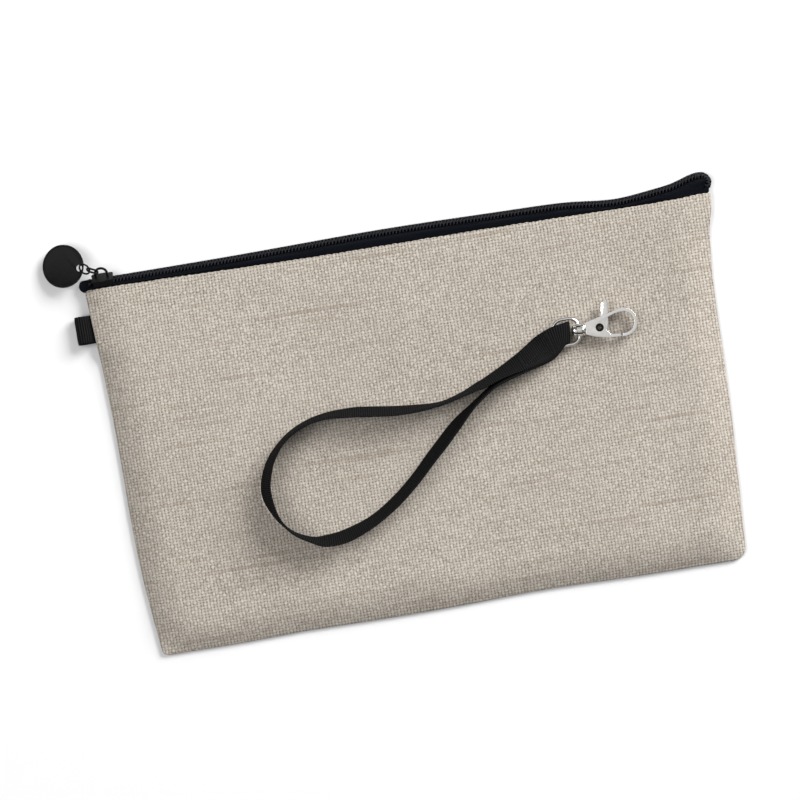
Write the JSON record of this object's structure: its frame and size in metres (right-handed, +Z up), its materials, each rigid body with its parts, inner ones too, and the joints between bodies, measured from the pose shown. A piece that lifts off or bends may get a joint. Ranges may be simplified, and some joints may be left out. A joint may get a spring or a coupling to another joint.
{
  "type": "cash deposit bag",
  "caption": "Flat zippered cash deposit bag in stiff linen-look fabric, with a webbing side tab, a round zipper pull and a loose wrist strap with a swivel clasp.",
  "frame": {"origin": "middle of the back panel's outer face, which the bag lies on", "axes": "+X along the zipper, away from the closed slider; +Y from the bottom seam to the zipper; +Z up, out of the front panel"},
  "size_m": [0.295, 0.185, 0.0209],
  "materials": {
    "linen": "woven",
    "lining": "plain weave",
    "zipper_tape": "woven",
    "zipper_coil": "matte",
    "webbing": "ribbed",
    "thread": "matte",
    "black_metal": "satin",
    "black_disc": "gloss",
    "nickel": "polished"
  },
  "bodies": {
    "bag": {"back_panel": "linen", "back_lining": "lining", "seam_binding_left": "lining", "seam_binding_right": "lining", "seam_binding_bottom": "lining", "back_tape": "zipper_tape", "back_coil": "zipper_coil", "top_stop_back": "black_metal", "bottom_stop": "black_metal", "side_tab": "webbing"},
    "front": {"front_panel": "linen", "front_lining": "lining", "front_tape": "zipper_tape", "front_coil": "zipper_coil", "top_stop_front": "black_metal"},
    "slider": {"slider_body": "black_metal", "slider_bridge": "black_metal"},
    "link": {"pull_link": "black_metal"},
    "ring": {"pull_ring": "black_metal"},
    "disc": {"pull_disc": "black_disc"},
    "strap": {"wrist_strap": "webbing", "strap_stitching": "thread", "clasp_eye": "nickel"},
    "hook": {"swivel_rivet": "nickel", "clasp_collar": "nickel", "clasp_body": "nickel", "gate_pivot": "nickel", "gate_spring": "nickel"},
    "gate": {"gate_lever": "nickel"}
  },
  "joints": [
    {"name": "slider_travel", "type": "slide", "parent": "bag", "child": "slider", "axis": [1, 0, 0], "range_m": [0, 0.2495], "deforming": ["back_coil", "back_tape"]},
    {"name": "mouth_open", "type": "hinge", "parent": "bag", "child": "front", "pos_m": [0, -0.082, 0.0013], "axis": [1, 0, 0], "range_deg": [0, 7.05], "deforming": ["front_coil", "front_tape"]},
    {"name": "link_swing", "type": "hinge", "parent": "slider", "child": "link", "pos_m": [-0.1306, 0.08768, 0.00739], "axis": [0, 0.5736, -0.8192], "range_deg": [0, 100]},
    {"name": "ring_swing", "type": "hinge", "parent": "link", "child": "ring", "pos_m": [-0.13614, 0.0903, 0.00923], "axis": [0, 0.5736, -0.8192], "range_deg": [-10, 40]},
    {"name": "disc_swing", "type": "hinge", "parent": "ring", "child": "disc", "pos_m": [-0.13954, 0.09145, 0.00705], "axis": [0.0367, 0.8006, 0.5981], "range_deg": [0, 18]},
    {"name": "wrist_strap_lift", "type": "slide", "parent": "front", "child": "strap", "axis": [0, 0, 1], "range_m": [0, 0.04]},
    {"name": "hook_swivel", "type": "hinge", "parent": "strap", "child": "hook", "pos_m": [0.07, 0.0292, 0.01142], "axis": [1, 0, 0], "range_deg": [-10, 10]},
    {"name": "gate_open", "type": "hinge", "parent": "hook", "child": "gate", "pos_m": [0.0812, 0.0288, 0.01142], "axis": [0, 0, 1], "range_deg": [0, 25], "stiffness_Nm_per_rad": 0.01, "springref_deg": -17.19}
  ],
  "couplings": [
    {"joint": "mouth_open", "follows": "slider_travel", "rad_per_m": 0.48967}
  ]
}
